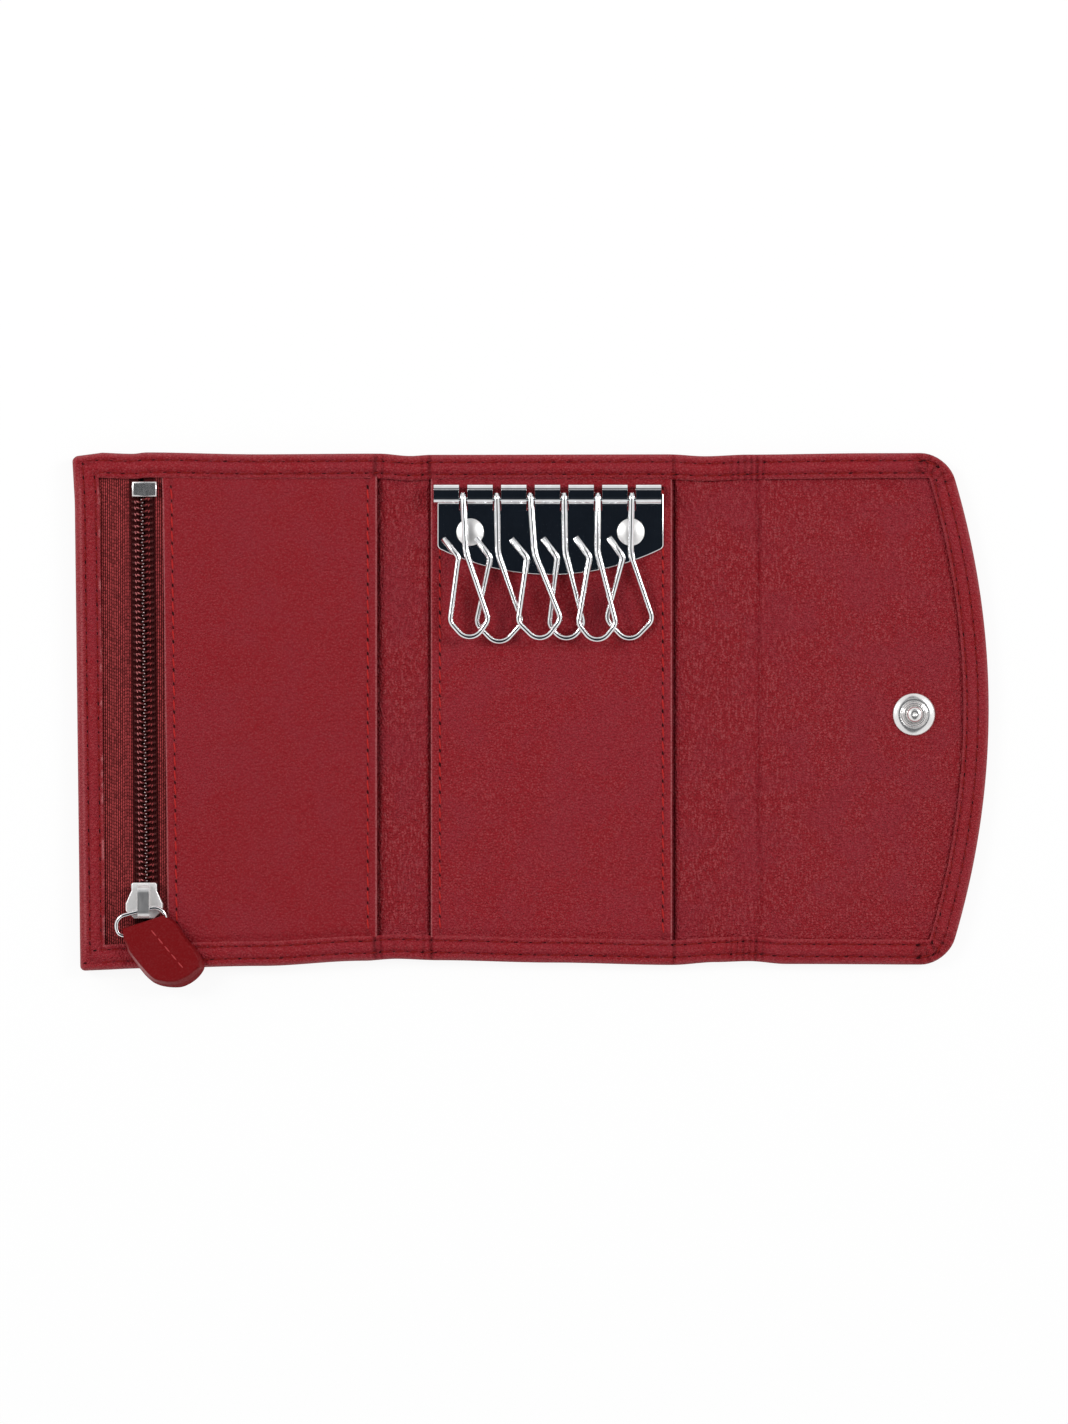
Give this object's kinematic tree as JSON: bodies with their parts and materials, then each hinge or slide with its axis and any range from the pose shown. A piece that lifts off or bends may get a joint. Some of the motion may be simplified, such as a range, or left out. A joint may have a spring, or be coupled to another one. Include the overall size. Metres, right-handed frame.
{
  "type": "key case",
  "caption": "Trifold leather key case lying open, with hinged wire key hooks on a rail, a zipped coin pocket and a snap flap that closes over it.",
  "frame": {"origin": "middle of the centre panel's back face, which lies on the table", "axes": "+X from the coin pocket to the snap flap, +Y up the panel to the key rail, +Z out of the lining"},
  "size_m": [0.1938, 0.1145, 0.0068],
  "materials": {
    "leather": "fine grain, semi-gloss",
    "lining_leather": "fine grain, semi-gloss",
    "tab_leather": "semi-gloss",
    "cloth": "woven",
    "zip_tape": "woven",
    "zip_coil": "satin",
    "board": "matte",
    "chrome": "polished",
    "satin_metal": "satin nickel"
  },
  "bodies": {
    "center": {"center_cover": "leather", "center_board": "board", "key_panel": "lining_leather", "rail_plate": "chrome", "rail_pin": "chrome", "rail_rivets": "chrome", "rivet_washers": "satin_metal"},
    "left_spine": {"left_spine_cover": "leather", "left_spine_lining": "lining_leather"},
    "left_panel": {"left_cover": "leather", "pocket_lining": "cloth", "pocket_front_lining": "cloth", "pocket_front": "lining_leather", "zip_tape_left": "zip_tape", "zip_tape_right": "zip_tape", "zip_coil_left": "zip_coil", "zip_coil_right": "zip_coil", "zip_bottom_stop": "satin_metal", "zip_top_stops": "satin_metal", "snap_socket": "satin_metal", "snap_eyelet": "satin_metal"},
    "zip_slider": {"zip_slider": "satin_metal"},
    "pull_link": {"pull_link": "satin_metal"},
    "pull_tab": {"pull_tab": "tab_leather"},
    "right_spine": {"right_spine_cover": "leather", "right_spine_lining": "lining_leather"},
    "flap": {"flap_cover": "leather", "flap_lining": "lining_leather", "snap_stud": "satin_metal", "snap_cap": "satin_metal"},
    "key_hook_1": {"key_hook_1": "chrome"},
    "key_hook_2": {"key_hook_2": "chrome"},
    "key_hook_3": {"key_hook_3": "chrome"},
    "key_hook_4": {"key_hook_4": "chrome"},
    "key_hook_5": {"key_hook_5": "chrome"},
    "key_hook_6": {"key_hook_6": "chrome"}
  },
  "joints": [
    {"name": "left_inner_fold", "type": "hinge", "parent": "center", "child": "left_spine", "pos_m": [-0.0259, 0, 0.0028], "axis": [0, 1, 0], "range_deg": [0, 60]},
    {"name": "left_outer_fold", "type": "hinge", "parent": "left_spine", "child": "left_panel", "pos_m": [-0.0365, 0, 0.0028], "axis": [0, 1, 0], "range_deg": [0, 120]},
    {"name": "right_inner_fold", "type": "hinge", "parent": "center", "child": "right_spine", "pos_m": [0.0259, 0, 0.0028], "axis": [0, -1, 0], "range_deg": [0, 42.6]},
    {"name": "right_outer_fold", "type": "hinge", "parent": "right_spine", "child": "flap", "pos_m": [0.0442, 0, 0.0028], "axis": [0, -1, 0], "range_deg": [0, 137.43]},
    {"name": "zip_slide", "type": "slide", "parent": "left_panel", "child": "zip_slider", "axis": [0, -1, 0], "range_m": [-0.08, 0], "deforming": ["zip_coil_left", "zip_coil_right"]},
    {"name": "pull_link_swing", "type": "hinge", "parent": "zip_slider", "child": "pull_link", "pos_m": [-0.08756, -0.04249, 0.0054], "axis": [0.9694, 0.2453, 0], "range_deg": [-110, 0]},
    {"name": "pull_tab_swing", "type": "hinge", "parent": "pull_link", "child": "pull_tab", "pos_m": [-0.08654, -0.04655, 0.005], "axis": [0.9694, 0.2453, 0], "range_deg": [-60, 0]},
    {"name": "hook_2_lift", "type": "hinge", "parent": "center", "child": "key_hook_2", "pos_m": [-0.01156, 0.0449, 0.0046], "axis": [1, 0, 0], "range_deg": [-70, 0]},
    {"name": "hook_4_lift", "type": "hinge", "parent": "center", "child": "key_hook_4", "pos_m": [0.00272, 0.0449, 0.0046], "axis": [1, 0, 0], "range_deg": [-70, 0]},
    {"name": "hook_6_lift", "type": "hinge", "parent": "center", "child": "key_hook_6", "pos_m": [0.017, 0.0449, 0.0046], "axis": [1, 0, 0], "range_deg": [-70, 0]},
    {"name": "hook_1_lift", "type": "hinge", "parent": "key_hook_2", "child": "key_hook_1", "pos_m": [-0.0187, 0.0449, 0.0046], "axis": [1, 0, 0], "range_deg": [-90, 0]},
    {"name": "hook_3_lift", "type": "hinge", "parent": "key_hook_4", "child": "key_hook_3", "pos_m": [-0.00442, 0.0449, 0.0046], "axis": [1, 0, 0], "range_deg": [-90, 0]},
    {"name": "hook_5_lift", "type": "hinge", "parent": "key_hook_6", "child": "key_hook_5", "pos_m": [0.00986, 0.0449, 0.0046], "axis": [1, 0, 0], "range_deg": [-90, 0]}
  ],
  "couplings": [
    {"joint": "left_inner_fold", "follows": "left_outer_fold", "ratio": 0.5},
    {"joint": "right_inner_fold", "follows": "right_outer_fold", "ratio": 0.30976},
    {"joint": "hook_4_lift", "follows": "hook_2_lift", "ratio": 1},
    {"joint": "hook_6_lift", "follows": "hook_2_lift", "ratio": 1}
  ]
}
